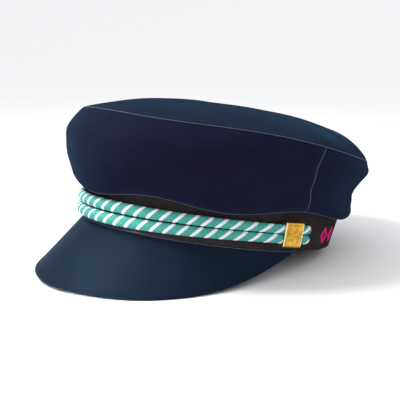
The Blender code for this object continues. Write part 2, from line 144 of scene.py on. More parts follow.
# Folds across the back: height up the side, half width, and depth as a share of SLUMP_DEPTH.
BACK_FOLDS = (
    # height, half width, depth
    (0.17, 0.10, 0.45),
    (0.42, 0.20, 0.78),
    (0.78, 0.15, -0.51),
    (1.02, 0.14, 0.33),
)
SWELL_SCALE = 27 / 4  # makes the highest value of s^4 (1 - s^2) a 1
FOLD_PULL = 2.8  # the cubic's pull at the hem's fold at most, in runs of the fold
FOLD_LEAVING = 0.8  # its pull on leaving the lowest point, as a share of the one before
FOLD_SLOPE_STEP = 0.02  # share of the side's height that the slope above the fold is read over
SEAM_SLOPE_STEP = 0.03  # the same, below the top seam
FOLD_END = 0.10  # share of the side's height where the hem's fold meets it

# Relief of the cloth
PUCKER = 0.14 * MM  # small ripples that the sewing draws into the cloth beside a seam
PUCKER_PITCH = 7.5 * MM
PUCKER_REACH = 5.0 * MM
VALLEY = 0.35 * MM  # how deep the cloth dips to a seam
VALLEY_REACH = 1.1 * MM
DRAPE = 0.45 * MM  # slow unevenness of soft cloth
DRAPE_LENGTH = 62 * MM
PIPING = 0.24 * MM  # radius of the fine piping in each seam
PIPING_SUNK = 0.12 * MM  # in the top seam
SIDE_PIPING_SUNK = 0.6  # in a side seam, as a share of the dip there
PIPING_TWIST = 2.4 * MM  # length of one turn of its two plies
PIPING_GROOVE = 0.14  # depth between them, as a share of its radius
JOINT_PIPING_DOWN = 0.25 * MM  # where the peak's joint has it, down from the peak's root
JOINT_PIPING_PROUD = 0.15 * MM
PEAK_TAPE = 0.16 * MM  # thickness of the binding round the peak's edge
PEAK_TAPE_WIDTH = 3.4 * MM
PEAK_TAPE_SHARE = 0.7  # its width at most, as a share of the peak's length there
THREAD = 0.15 * MM  # radius of a sewing thread
HEM_STITCH = 2.3 * MM
PEAK_STITCH = 2.4 * MM
STITCH_GAP = 1.0 * MM
STITCHES_IN = 2.5 * MM  # from the peak's edge

# Fine patterns of the materials
WEAVE_PITCH = 0.85 * MM
WEAVE_RELIEF = 0.14 * MM
RIB_PITCH = 1.05 * MM  # of the band's ribbon
RIB_RELIEF = 0.25 * MM
GRAIN_RELIEF = 0.12 * MM
YARN_RELIEF = 0.18 * MM
SCRATCH_RELIEF = 0.1 * MM
FUZZ_RELIEF = 0.1 * MM

# Cord's twist
CORD_PITCH = 8.9 * MM  # length of one whole turn of the plies, a broad teal one and a white one
CORD_PITCH_OPENED = 11.6 * MM  # the same, at the clasps
PITCH_OPENS = math.radians(40)  # round the cap from the front, where it starts to open
FRONT_RUN = 0.33  # of a turn that a stripe runs between the front of a strand and its top
PLY_START = 0.15  # of a turn, where the white ply lies at the middle of the front
WHITE_SHARE = 0.31  # of the turn that the white ply takes
WHITE_GROOVE = 0.8  # depth of its grooves as a share of the teal ply's
YARNS = 13  # fine ridges across both plies
PLY_GROOVE = 0.10  # depth of the groove between two plies, as a share of the radius

# Clasp's relief
CLASP_RIM = 0.35 * MM
CLASP_RIM_WIDTH = 1.5 * MM
CLASP_CRUMPLE = 0.52 * MM
CLASP_HIGHLIGHT_WIDTH = 0.7 * MM  # width of the paler metal at each end, a painted highlight
CLASP_RIM_SLOPE = 0.7 * MM
CLASP_RIM_ROUND = 0.12 * MM
CLASP_RELIEF = 0.9  # share of the sunk relief that is used
CLASP_LIP = 0.35 * MM
CREASES = 6
CREASE_LENGTHS = (3.0, 7.5)  # millimetres, shortest and longest

# Embroidered mark on the band, behind the left clasp
MARK_ANGLE = math.radians(118.4)
MARK_RISE = 10.4 * MM  # height of its middle
MARK_HALF_WIDTH = 4.6 * MM
MARK_HALF_HEIGHT = 4.7 * MM
MARK_STEP = 15.0 * MM  # between its two lozenges
MARK_THREAD = 1.55 * MM  # half the width of its satin stitch
MARK_RELIEF = 0.5 * MM
MARK_RIDGE = 0.10  # height of the ridges across it, as a share of its relief
MARK_RIDGE_PITCH = 0.5 * MM
MARK_WOBBLE = 0.04  # unevenness of its width
MARK_WOBBLE_PITCH = 1.1 * MM

# Lights: places and aims in metres, powers in watts
KEY_PLACE = (-0.22, -0.36, 0.60)  # a soft light high in front
KEY_AIM = (-0.01, -0.06, 0.08)
KEY_SIZE = 0.22
KEY_POWER = 5.6
KEY_COLOUR = (1.0, 1.0, 1.0)
KEY_SPREAD = math.radians(180)
LOW_PLACE = (0.12, -0.42, 0.16)  # a small low one for the soft gleam on the peak
LOW_AIM = (0.034, -0.112, 0.012)
LOW_SIZE = 0.03
LOW_POWER = 0.017
LOW_COLOUR = (0.92, 1.0, 1.0)
LOW_SPREAD = math.radians(15)

# Floor, in metres
FLOOR_FLAT = 2.0  # radius of its flat part
FLOOR_NEXT = 2.1  # radius of the first ring beyond it
FLOOR_REACH = 3.6
FLOOR_RISE = 1.6
FLOOR_BEND = 3.2  # how far out the whole rise would take

# Colours, as linear red, green and blue, from the darker to the lighter tone
WOOL_TONES = ((0.0075, 0.0068, 0.0175), (0.0100, 0.0092, 0.0225))
LEATHER_TONES = ((0.0066, 0.0100, 0.0195), (0.0085, 0.0132, 0.0245))
RIBBON_TONES = ((0.025, 0.0190, 0.0215), (0.038, 0.0295, 0.0330))
TEAL_TONES = ((0.047, 0.268, 0.240), (0.074, 0.365, 0.322))
WHITE_TONES = ((0.64, 0.67, 0.67), (0.82, 0.84, 0.84))
# The gold's wide drift from dark to light is partly its tone and partly painted reflection, the
# patches a crumpled face would mirror
GOLD_TONES_AND_REFLECTIONS = ((0.34, 0.13, 0.005), (0.92, 0.58, 0.10))
# Paler gold at both ends of a clasp: a painted highlight on its rim
GOLD_PAINTED_HIGHLIGHT = (0.95, 0.80, 0.40)
PIPING_COLOUR = (0.105, 0.105, 0.150)
THREAD_COLOUR = (0.010, 0.010, 0.024)
MAGENTA = (0.66, 0.008, 0.19)
WOOL_SHEEN = (0.14, 0.50, 0.75)
LEATHER_SHEEN = (0.12, 0.46, 0.75)
LEATHER_GLOSS = (0.25, 0.7, 1.0)
FLOOR_COLOUR = (0.93, 0.93, 0.93)
SKY_COLOUR = (0.97, 0.98, 1.0)
SKY_STRENGTH = 0.98

# How finely the surfaces are divided
PANEL_COLUMNS = 220
SIDE_ROWS = 64
HEM_STITCH_ROW = 4  # the row of the side that the hem's stitches follow
FOLD_ROWS = 12
DOME_ROWS = 76
DOME_CROWDING = 1.25  # above 1, the rows lie closer together towards the seam
PEAK_COLUMNS = 220
PEAK_ROWS = 40
CORD_COLUMNS = 640
CORD_SIDES = 48
BAND_ROWS = 60
PIPING_SIDES = 10
SIDE_PIPING_ROWS = 400
CLASP_COLUMNS = 56
MERGE = 0.001 * MM

cap_opening = next(m for m in frame["record"]["mounts"] if m["name"] == "head_opening")
TILT = math.atan2(-cap_opening["axis"][1], -cap_opening["axis"][2])
PLACE = np.array(cap_opening["pos_m"])


def stood(points):
    """Worn frame to table frame: a turn about X that lifts the nose, then a move to the place."""
    across, along, height = np.moveaxis(np.asarray(points, dtype=float), -1, 0)
    turned = np.stack([
        across,
        along * math.cos(TILT) + height * math.sin(TILT),
        height * math.cos(TILT) - along * math.sin(TILT),
    ], axis=-1)
    return turned + PLACE


def waves(alpha, rows):
    """Sum of cosines round the cap, one for each row."""
    return sum(share * np.cos(count * alpha) for count, share in rows)


def ease(share):
    """0 to 1 with level ends: 3 s^2 - 2 s^3."""
    share = np.clip(share, 0, 1)
    return share * share * (3 - 2 * share)


def hermite(start, start_pull, end, end_pull, share):
    """Cubic from start to end that leaves and arrives along the two pulls."""
    return (
        (2 * share**3 - 3 * share**2 + 1) * start
        + (share**3 - 2 * share**2 + share) * start_pull
        + (3 * share**2 - 2 * share**3) * end
        + (share**3 - share**2) * end_pull
    )


def smooth_through(at, knots, values):
    """Cubic Hermite curve through the knots, with slopes taken from their neighbours."""
    slopes = np.gradient(values, knots)
    left = np.clip(np.searchsorted(knots, at) - 1, 0, len(knots) - 2)
    span = knots[left + 1] - knots[left]
    share = (at - knots[left]) / span
    return hermite(
        values[left], slopes[left] * span, values[left + 1], slopes[left + 1] * span, share
    )


def ring(alpha, out, height, back=0.0):
    """Points round the cap: the band's lower ellipse grown by out, moved back, at a height."""
    alpha, out, height, back = np.broadcast_arrays(alpha, out, height, back)
    across = (BAND_WIDTH / 2 + out) * np.sin(alpha)
    along = back - (BAND_LENGTH / 2 + out) * np.cos(alpha)
    return np.stack([across, along, height], axis=-1)


def arc_angle(length, alpha):
    """The turn round the cap that covers this length of the band near alpha."""
    return length / math.hypot(
        BAND_WIDTH / 2 * math.cos(alpha), BAND_LENGTH / 2 * math.sin(alpha)
    )


def at_back(alpha):
    """0 in front and at the sides, rising to 1 at the middle of the back: ease(-cos alpha)."""
    return ease(-np.cos(alpha))


def band_top(alpha):
    """How far the band's outer face stands out at its upper edge."""
    return BAND_FLARE + BAND_BACK_FLARE * at_back(alpha)


def band_face(height, alpha):
    """How far the band's outer face stands out at a height: evenly from its foot to its top."""
    share = height / BAND_HEIGHT
    return band_top(alpha) * share - BAND_BACK_IN * at_back(alpha) * (1 - share)


def run_along(points):
    """Length along each row of points from its first one: the sum of the steps."""
    steps = np.linalg.norm(np.diff(points, axis=-2), axis=-1)
    return np.concatenate([np.zeros(steps.shape[:-1] + (1,)), np.cumsum(steps, axis=-1)], axis=-1)


def read_at(at, run, points):
    """The points' places at these lengths along their run, straight between neighbours."""
    return np.stack([np.interp(at, run, points[:, axis]) for axis in range(3)], axis=-1)


def ripple(across, up, length, seed, count=7):
    """Slow unevenness between about -1 and 1: sines in directions drawn from a seed."""
    draw = np.random.default_rng(seed)
    total = 0
    for _ in range(count):
        turn = draw.uniform(0, 2 * math.pi)
        wave = 2 * math.pi / (length * draw.uniform(0.6, 1.5))
        phase = draw.uniform(0, 2 * math.pi)
        total = total + np.sin(wave * (across * math.cos(turn) + up * math.sin(turn)) + phase)
    return total / math.sqrt(count)


def beside_seam(distance, along, seed):
    """Relief beside a seam: a smooth dip to it, and ripples across it that die away from it.

    The ripples are a sine of the way along, whose phase and height drift by two slower sines.
    """
    wander = 1.3 * np.sin(2 * math.pi * along / (9.1 * PUCKER_PITCH) + seed)
    swell = 0.7 + 0.3 * np.sin(2 * math.pi * along / (5.3 * PUCKER_PITCH) + 2 * seed)
    pleat = np.sin(2 * math.pi * along / PUCKER_PITCH + wander)
    ripples = PUCKER * swell * pleat * np.exp(-((distance / PUCKER_REACH) ** 2))
    return ripples - VALLEY * np.exp(-((distance / VALLEY_REACH) ** 2))


def make_piece(name, grids, material, replaced=(), sharp=None):
    """One mesh from grids of points with their UV places. Doubled rows and poles are merged.

    A grid is a pair: points of shape (rows, columns, 3) and UV places of shape (rows, columns, 2).
    """
    blocks, quads, places, count = [], [], [], 0
    for points, uv in grids:
        rows, columns = points.shape[:2]
        row, column = np.mgrid[0:rows - 1, 0:columns - 1]
        corner_row = np.stack([row, row, row + 1, row + 1], axis=-1).reshape(-1, 4)
        corner_column = np.stack([column, column + 1, column + 1, column], axis=-1).reshape(-1, 4)
        blocks.append(points.reshape(-1, 3))
        quads.append(count + corner_row * columns + corner_column)
        places.append(uv[corner_row, corner_column])
        count += rows * columns
    points, quads, places = map(np.concatenate, (blocks, quads, places))
    first, second, third, fourth = (points[quads[:, corner]] for corner in range(4))
    volume = np.einsum("ij,ij->", first, np.cross(second, third) + np.cross(third, fourth))
    if volume < 0:
        quads, places = quads[:, ::-1], places[:, ::-1]
    mesh = bpy.data.meshes.new(name)
    mesh.from_pydata(points.tolist(), [], quads.tolist())
    layer = mesh.uv_layers.new(name="UVMap")
    layer.data.foreach_set("uv", places.reshape(-1).astype(np.float32))
    sculpt = bmesh.new()
    sculpt.from_mesh(mesh)
    bmesh.ops.remove_doubles(sculpt, verts=sculpt.verts, dist=MERGE)
    sculpt.to_mesh(mesh)
    sculpt.free()
    mesh.shade_smooth()
    if sharp is not None:
        mesh.set_sharp_from_angle(angle=sharp)
    mesh.materials.append(material)
    piece = bpy.data.objects.new(name, mesh)
    bpy.context.scene.collection.objects.link(piece)
    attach(piece, "root")
    if replaced:
        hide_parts(*replaced)
    return piece


def cloth_uv(loops):
    """UV places in metres for section loops: round the cap, and along the section."""
    middle = loops[len(loops) // 4]
    round_cap = np.broadcast_to(run_along(middle), loops.shape[:2])
    column = loops[:, loops.shape[1] // 2]
    along_section = np.broadcast_to(run_along(column)[:, None], loops.shape[:2])
    return np.stack([round_cap, along_section], axis=-1)


def closed_ends(loops):
    """The loops with one more column at each end, where outer and inner rows meet on a mid line."""
    middle = (loops + loops[::-1]) / 2
    return np.concatenate([middle[:, :1], loops, middle[:, -1:]], axis=1)


def hem_height(alpha):
    """Height of the hem: the band's shown height and the hem's waves."""
    return BAND_SHOWN + HEM_WAVE * waves(alpha, HEM_WAVES)


def seam_height(alpha):
    """Height of the top seam: the crown's height above the hem, with the seam's waves."""
    return BAND_SHOWN + CROWN_HEIGHT * (1 + waves(alpha, SEAM_WAVES))


def side_reach(share, alpha):
    """How far the side stands out at a share of its height: its section, less the back's folds."""
    reach = smooth_through(share, SIDE_SECTION[:, 0], SIDE_SECTION[:, 1])
    out = HEM_OUT + (CROWN_BULGE - HEM_OUT) * reach
    behind = np.clip(-np.cos(alpha), 0, 1)
    for height, half_width, depth in BACK_FOLDS:
        out = out - SLUMP_DEPTH * depth * behind * np.exp(-(((share - height) / half_width) ** 2))
    return out


def side_point(share, alpha):
    """Reach, height and set-back of the side's outer face."""
    hem = hem_height(alpha)
    height = hem + (seam_height(alpha) - hem) * share
    set_back = CROWN_LEAN * smooth_through(share, SIDE_SECTION[:, 0], SIDE_SECTION[:, 2])
    return np.array([side_reach(share, alpha), height, set_back + 0 * alpha])


def back_puff(alpha):
    """Swell of the top towards the back: BACK_PUFF ((1 - cos alpha) / 2)^2."""
    return BACK_PUFF * ((1 - np.cos(alpha)) / 2) ** 2


def back_roll(alpha):
    """Share of the top's fall that rolls over at the seam: BACK_ROLL ((1 - cos alpha) / 2)^2."""
    return BACK_ROLL * ((1 - np.cos(alpha)) / 2) ** 2


def dome_height(share, drop, alpha):
    """Height of the top from its middle: puff 27/4 s^4 (1 - s^2), less the drop times the fall.

    The fall is s^DOME_FULLNESS, but for its rolled share, which is s^ROLL_FULLNESS.
    """
    swell = SWELL_SCALE * share**4 * (1 - share**2)
    rolled = back_roll(alpha)
    fall = (1 - rolled) * share**DOME_FULLNESS + rolled * share**ROLL_FULLNESS
    return back_puff(alpha) * swell - drop * fall


def dome_fall(share, drop, alpha):
    """How fast the top falls for each whole way from the middle to the seam."""
    swelling = SWELL_SCALE * (4 * share**3 - 6 * share**5)
    rolled = back_roll(alpha)
    falling = (1 - rolled) * DOME_FULLNESS * share ** (DOME_FULLNESS - 1)
    falling = falling + rolled * ROLL_FULLNESS * share ** (ROLL_FULLNESS - 1)
    return drop * falling - back_puff(alpha) * swelling


def dome_middle():
    """The highest point of the crown's top."""
    return np.array([0.0, CROWN_LEAN * SIDE_SECTION[-1, 2], seam_height(math.pi / 2) + CROWN_DOME])


def seam_corner(alpha):
    """The top seam in section: its outer point, its mitre to the inner one, and two trims."""
    seam = side_point(1.0, alpha)
    rise = (seam - side_point(1 - SEAM_SLOPE_STEP, alpha))[:2]
    rise = rise / np.hypot(*rise)
    edge = ring(alpha, seam[0], seam[1], seam[2])
    run = np.hypot(*(edge - dome_middle())[..., :2].T)
    slope = np.arctan2(dome_fall(1.0, dome_middle()[2] - edge[..., 2], alpha), run)
    inward = np.array([-np.cos(slope), np.sin(slope)])
    side_normal = np.array([-rise[1], rise[0]])
    top_normal = np.array([-inward[1], inward[0]])
    mitre = (side_normal + top_normal) / (1 + (side_normal * top_normal).sum(0)) * CLOTH
    trim = SEAM_GAP / 2 * np.hypot(*mitre) / CLOTH
    return seam, mitre, rise * trim, inward * trim


def side_outer(alpha):
    """Outer face of the crown's side in section, rows from the flange on the band to the top seam.

    The flange sits on the band's upper edge, a cubic goes down into the hem's fold and up out of
    it, and the side follows its table to the seam. Each row's share of the side's height comes too.
    """
    hem = hem_height(alpha)
    seat = BAND_HEIGHT + SEAT_GAP + 0 * alpha
    inner_end = np.array([band_top(alpha) - BAND_WALL, seat, 0 * alpha])
    flange_end = np.array([band_top(alpha) + SEAT_GAP, seat, 0 * alpha])
    lowest = np.array([band_top(alpha) + FOLD_REACH, hem, 0 * alpha])
    first = side_point(FOLD_END, alpha)
    run = FOLD_REACH - SEAT_GAP
    pull = np.clip(np.sqrt(6 * (seat - hem) * (CLOTH + FOLD_HOLLOW)), run, FOLD_PULL * run)
    level = np.array([pull, 0 * alpha, 0 * alpha])
    up = side_point(FOLD_END + FOLD_SLOPE_STEP, alpha) - first
    up = up / np.hypot(up[0], up[1]) * np.hypot(*(first - lowest)[:2])
    steps = np.linspace(0, 1, FOLD_ROWS + 1)
    outer = [inner_end, (inner_end + flange_end) / 2]
    outer += [hermite(flange_end, level, lowest, level, share) for share in steps]
    outer += [hermite(lowest, level * FOLD_LEAVING, first, up, share) for share in steps[1:-1]]
    shares = np.linspace(FOLD_END, 1, SIDE_ROWS)
    below = len(outer)
    outer += [side_point(share, alpha) for share in shares]
    return np.stack(outer), np.concatenate([np.zeros(below), shares])


def offset_in(outer, depth):
    """Rows of a section moved square to it, inwards by the depth: the tangent turned a quarter."""
    tangent = np.gradient(outer[:, :2], axis=0)
    tangent[0] = (outer[1] - outer[0])[:2]
    tangent = tangent / np.linalg.norm(tangent, axis=1, keepdims=True)
    moved = outer.copy()
    moved[:, 0] -= depth * tangent[:, 1]
    moved[:, 1] += depth * tangent[:, 0]
    return moved


def section_points(section, alpha):
    """A section's rows of reach, height and set-back, carried round the cap."""
    return ring(alpha, section[:, 0], section[:, 1], section[:, 2])


def crown_side(solid, start, end, seed, material):
    """One side panel: its outer section with the cloth's relief, and an inner face behind it."""
    half_gap = SEAM_GAP / BAND_WIDTH
    alpha = np.linspace(start + half_gap, end - half_gap, PANEL_COLUMNS + 1)
    outer, share = side_outer(alpha)
    points = section_points(outer, alpha)
    round_cap = run_along(points[-SIDE_ROWS // 2])
    up = share[:, None] * CROWN_HEIGHT + 0 * alpha
    to_seam = (1 - share[:, None]) * CROWN_HEIGHT + 0 * alpha
    to_side = np.minimum(round_cap, round_cap[-1] - round_cap) + 0 * up
    relief = DRAPE * ripple(round_cap + 0 * up, up, DRAPE_LENGTH, seed)
    relief *= ease(to_seam / PUCKER_REACH / 2) * ease(to_side / PUCKER_REACH / 2)
    relief += beside_seam(to_seam, round_cap + 0 * up, seed)
    relief += beside_seam(to_side, up, seed + 1)
    relief *= ease(share / (2 * FOLD_END))[:, None]
    inner = offset_in(outer, CLOTH)
    shown = offset_in(outer, -relief)
    seam, mitre, side_trim, _ = seam_corner(alpha)
    shown[-1, :2] += seam[:2] - side_trim - outer[-1, :2]
    inner[-1, :2] = seam[:2] + mitre - side_trim
    loop = np.concatenate([shown, inner[::-1], shown[:1]])
    loops = closed_side(section_points(loop, alpha))
    return make_piece(
        solid + "_cloth", [(stood(loops), cloth_uv(loops))], material, [solid]
    )


def closed_side(loops):
    """Section loops with their last row a copy of the first, closed at both ends of the panel."""
    body = closed_ends(loops[:-1])
    return np.concatenate([body, body[:1]])


def crown_top(material):
    """The domed top: from its highest point out to the seam, and back inside, CLOTH below.

    The outer face is the seam's ring drawn in to the middle, raised by the dome's height, with
    slow unevenness and the ripples of the seam. The inner face is square to it.
    """
    half_gap = SEAM_GAP / BAND_WIDTH
    front = np.linspace(-SIDE_SEAM + half_gap, SIDE_SEAM - half_gap, PANEL_COLUMNS + 1)
    back = np.linspace(SIDE_SEAM + half_gap, 2 * math.pi - SIDE_SEAM - half_gap, PANEL_COLUMNS + 1)
    alpha = np.concatenate([front, back, front[:1] + 2 * math.pi])
    seam, mitre, _, trim = seam_corner(alpha)
    middle = dome_middle()
    edge = ring(alpha, seam[0], seam[1], seam[2])
    rim = ring(alpha, seam[0] + trim[0], seam[1] + trim[1], seam[2])
    inner_rim = rim + ring(alpha, mitre[0], mitre[1]) - ring(alpha, 0, 0)
    share = 1 - np.linspace(1, 0, DOME_ROWS) ** DOME_CROWDING
    share = share[:-1, None]
    spoke = (edge - middle)[:, :2]
    run = np.linalg.norm(spoke, axis=1)
    drop = middle[2] - edge[:, 2]
    slope = np.arctan2(dome_fall(share, drop, alpha), run)
    flat = middle[:2] + spoke * share[..., None]
    height = middle[2] + dome_height(share, drop, alpha)
    surface = np.concatenate([flat, height[..., None]], axis=-1)
    normal = np.concatenate([
        spoke / run[:, None] * np.sin(slope)[..., None],
        np.cos(slope)[..., None],
    ], axis=-1)
    to_seam = (1 - share) * run
    relief = DRAPE * ripple(flat[..., 0], flat[..., 1], DRAPE_LENGTH, 5)
    relief *= ease(to_seam / PUCKER_REACH / 2)
    relief += beside_seam(to_seam, run_along(edge) + 0 * to_seam, 3)
    outer = surface + normal * relief[..., None]
    inner = surface - normal * CLOTH
    loops = np.concatenate([outer, rim[None], inner_rim[None], inner[::-1]])
    uv = np.stack([loops[..., 0], loops[..., 1]], axis=-1)
    return make_piece(
        "crown_top_cloth", [(stood(loops), uv)], material, ["crown_top"]
    )


def all_angles(count):
    """Places right round the cap, the last one on the first."""
    return np.linspace(-math.pi, math.pi, count + 1)


def band(material):
    """The upright oval wall: a rounded lower edge, a fine groove above it, and a plain inside.

    Points that would sink below the table are brought up to it, so the back's edge lies flat.
    """
    alpha = all_angles(2 * PANEL_COLUMNS)
    turn = np.linspace(0, math.pi / 2, 6)
    edge_out = np.column_stack([
        BAND_EDGE * (np.cos(turn) - 1), BAND_EDGE * (1 - np.sin(turn)),
    ])
    edge_in = np.column_stack([
        -BAND_WALL + BAND_EDGE * (1 - np.cos(turn)), BAND_EDGE * (1 - np.sin(turn)),
    ])[::-1]
    rise = np.linspace(BAND_EDGE, BAND_HEIGHT, BAND_ROWS)
    groove = BAND_GROOVE * np.exp(-(((rise - BAND_GROOVE_RISE) / BAND_GROOVE_REACH) ** 2))
    wall = np.column_stack([-groove, rise])
    inside = np.column_stack([0 * rise - BAND_WALL, rise])
    section = np.concatenate([edge_out, edge_in, inside[1:], wall[::-1]])
    height = section[:, 1:]
    loops = ring(alpha, section[:, :1] + band_face(height, alpha), height)
    stood_loops = stood(loops)
    stood_loops[..., 2] = np.maximum(stood_loops[..., 2], 0)
    return make_piece(
        "band_ribbon", [(stood_loops, cloth_uv(loops))], material, ["band"]
    )


def peak_frame(columns):
    """Along the peak: its slope and length, root points, and unit vectors down and under it.

    At a share S of the way to its end, the slope is PEAK_SLOPE + PEAK_CURL S^2, and the length
    falls as 1 - |S|^PEAK_FULLNESS with a shoulder of sin^2(pi S).
    """
    share = np.linspace(-1, 1, columns + 1)
    alpha = share * PEAK_ANGLE
    slope = PEAK_SLOPE + PEAK_CURL * share**2
    tip = PEAK_LENGTH - PEAK_CORNER_LENGTH
    length = PEAK_CORNER_LENGTH + tip * (1 - np.abs(share) ** PEAK_FULLNESS)
    length = length + PEAK_SHOULDER * np.sin(math.pi * share) ** 2
    root = ring(alpha, 0, -SEAT_GAP)
    square = np.stack([np.sin(alpha) / BAND_WIDTH, -np.cos(alpha) / BAND_LENGTH], axis=1)
    square = square / np.linalg.norm(square, axis=1, keepdims=True)
    down = np.column_stack([square * np.cos(slope)[:, None], -np.sin(slope)])
    under = np.column_stack([-square * np.sin(slope)[:, None], -np.cos(slope)])
    return slope, length, root, down, under


def peak_points(along, below, root, down, under):
    """Points of the peak: root + down * along + under * below."""
    along, below = np.broadcast_arrays(along, below)
    return root + down * along[..., None] + under * below[..., None]


def peak(material):
    """The visor and the binding tape round its edge.

    The visor runs from its root down its slope, round a lip of half its wall, and back beneath.
    The tape is the lip's outline grown by its own thickness, a few millimetres up both faces.
    """
    slope, length, root, down, under = peak_frame(PEAK_COLUMNS)
    tape = PEAK_TAPE
    half = PEAK_WALL / 2
    straight = length - half - tape
    behind = -PEAK_WALL / np.tan(slope)
    step = np.linspace(0, 1, PEAK_ROWS)[:, None]
    turn = np.linspace(0, math.pi, 12)[1:-1, None]
    top = peak_points(straight * step, 0 * straight * step, root, down, under)
    lip = peak_points(
        straight + half * np.sin(turn), half - half * np.cos(turn) + 0 * straight,
        root, down, under,
    )
    bottom = peak_points(
        behind + (straight - behind) * step, PEAK_WALL + 0 * straight * step, root, down, under
    )
    loops = closed_ends(np.concatenate([top, lip, bottom[::-1]]))
    loops = np.concatenate([loops, loops[:1]])
    uv = cloth_uv(loops)
    make_piece("peak_cover", [(stood(loops), uv)], material, ["peak"])

    tape_width = np.minimum(PEAK_TAPE_WIDTH, PEAK_TAPE_SHARE * straight)
    back = np.linspace(1, 0, 8)[:, None]
    turn = np.linspace(0, math.pi, 17)[:, None]
    swell = tape * np.sin(math.pi * np.clip(1 - back, 0.12, 0.5))
    outer = np.concatenate([
        peak_points(straight - tape_width * back, -swell + 0 * straight, root, down, under),
        peak_points(
            straight + (half + tape) * np.sin(turn[1:-1]),
            half - (half + tape) * np.cos(turn[1:-1]) + 0 * straight, root, down, under,
        ),
        peak_points(
            straight - tape_width * back[::-1], PEAK_WALL + swell[::-1] + 0 * straight,
            root, down, under,
        ),
    ])
    inner = np.concatenate([
        peak_points(straight - tape_width * back, half / 4 + 0 * straight, root, down, under),
        peak_points(
            straight + half / 2 * np.sin(turn[1:-1]),
            half - 3 * half / 4 * np.cos(turn[1:-1]) + 0 * straight, root, down, under,
        ),
        peak_points(
            straight - tape_width * back[::-1], PEAK_WALL - half / 4 + 0 * straight,
            root, down, under,
        ),
    ])
    loops = closed_ends(np.concatenate([outer, inner[::-1]]))
    loops = np.concatenate([loops, loops[:1]])
    return make_piece(
        "peak_binding", [(stood(loops), cloth_uv(loops))], material
    )


def clasp_half_angle():
    """Half the clasp's length as a turn round the cap."""
    return arc_angle(CLASP_LENGTH / 2, CLASP_ANGLE)


def drawn_in(alpha):
    """0 at the middle of the front, rising to 1 where the strands enter the clasp."""
    return ease(np.abs(alpha) / (CLASP_ANGLE - clasp_half_angle()))


def cord_radius(alpha):
    """Half the height of a strand: fullest in front, drawn in towards the clasp."""
    return CORD_RADIUS + (CORD_RADIUS_CLASPED - CORD_RADIUS) * drawn_in(alpha)


def cord_depth(alpha):
    """Half the depth of a strand, out from the band."""
    flattening = CORD_FLATTENING + (CORD_FLATTENING_CLASPED - CORD_FLATTENING) * drawn_in(alpha)
    return cord_radius(alpha) * flattening


def cord_middle(alpha):
    """Height of the line between the two strands."""
    front = CORD_FOOT + 2 * CORD_RADIUS + CORD_SPREAD / 2
    return front + CORD_RISE * ease(np.abs(alpha) / CLASP_ANGLE)


def cord_stand_off(alpha):
    """Gap behind a strand, which lifts off the band to pass through the clasp."""
    clasp_edge = CLASP_ANGLE - clasp_half_angle()
    lifted = ease(1 + (np.abs(alpha) - clasp_edge) / (3 * clasp_half_angle()))
    return SEAT_GAP + (CLASP_PLATE + SEAT_GAP) * lifted


def straightened(turn):
    """Share of a turn at a place round the strand, told so that the stripes look straight in front.

    It is FRONT_RUN sin(turn) in front and 1/2 - (1/2 - FRONT_RUN) sin(turn) behind, from turn = -90
    to 270 degrees, so both parts meet level at the top and at the bottom.
    """
    front = np.cos(turn) >= 0
    whole = np.floor((turn + math.pi / 2) / (2 * math.pi))
    behind = 0.5 - (0.5 - FRONT_RUN) * np.sin(turn)
    return whole + np.where(front, FRONT_RUN * np.sin(turn), behind)


def cord(name, side, material):
    """One strand of twisted cord, carried round the front, with rounded ends.

    The section is an upright oval. Going round it, a white ply and a teal one are arches between
    grooves, and they turn once in each pitch along the strand. V is the straightened turn round the
    strand, and U the turns so far, times CORD_PITCH, so that the material finds the same plies.
    """
    reach = CLASP_ANGLE + clasp_half_angle() + arc_angle(CORD_TAIL, CLASP_ANGLE)
    blunt = arc_angle(CORD_RADIUS_CLASPED, CLASP_ANGLE)
    body = np.linspace(blunt - reach, reach - blunt, CORD_COLUMNS + 1)
    nose_turn = np.linspace(0, math.pi / 2, 9)[1:]
    nose = reach - blunt + blunt * np.sin(nose_turn)
    alpha = np.concatenate([-nose[::-1], body, nose])
    round_off = np.cos(nose_turn)
    fullness = np.concatenate([round_off[::-1], np.ones(len(body)), round_off])
    spread = CORD_SPREAD + (SEAT_GAP - CORD_SPREAD) * drawn_in(alpha)
    height = cord_middle(alpha) + side * (spread / 2 + cord_radius(alpha))
    out = band_face(height, alpha) + cord_stand_off(alpha) + cord_depth(alpha)
    middle = ring(alpha, out, height)
    opened = ease((np.abs(alpha) - PITCH_OPENS) / (CLASP_ANGLE - PITCH_OPENS))
    pitch = CORD_PITCH + (CORD_PITCH_OPENED - CORD_PITCH) * opened
    steps = np.diff(run_along(middle)) * 2 / (pitch[1:] + pitch[:-1])
    turns = np.concatenate([[0], np.cumsum(steps)])
    turns = turns - np.interp(0, alpha, turns)
    turn = np.linspace(0, 2 * math.pi, CORD_SIDES + 1)[:, None]
    turns = turns - side * FRONT_RUN - PLY_START
    shown_turn = straightened(turn)
    ply = shown_turn - turns
    within = ply - np.floor(ply)
    white = within < WHITE_SHARE
    across = np.where(white, within / WHITE_SHARE, (within - WHITE_SHARE) / (1 - WHITE_SHARE))
    arch = np.sqrt(np.clip(1 - (2 * across - 1) ** 2, 0, 1))
    depth = np.where(white, WHITE_GROOVE, 1.0) * PLY_GROOVE
    relief = fullness * (1 - depth * (1 - arch))
    points = ring(
        alpha,
        out + relief * cord_depth(alpha) * np.cos(turn),
        height + relief * cord_radius(alpha) * np.sin(turn),
    )
    uv = np.stack(np.broadcast_arrays(turns * CORD_PITCH, shown_turn), axis=-1)
    return make_piece(
        name + "_rope", [(stood(points), uv)], material, [name]
    )


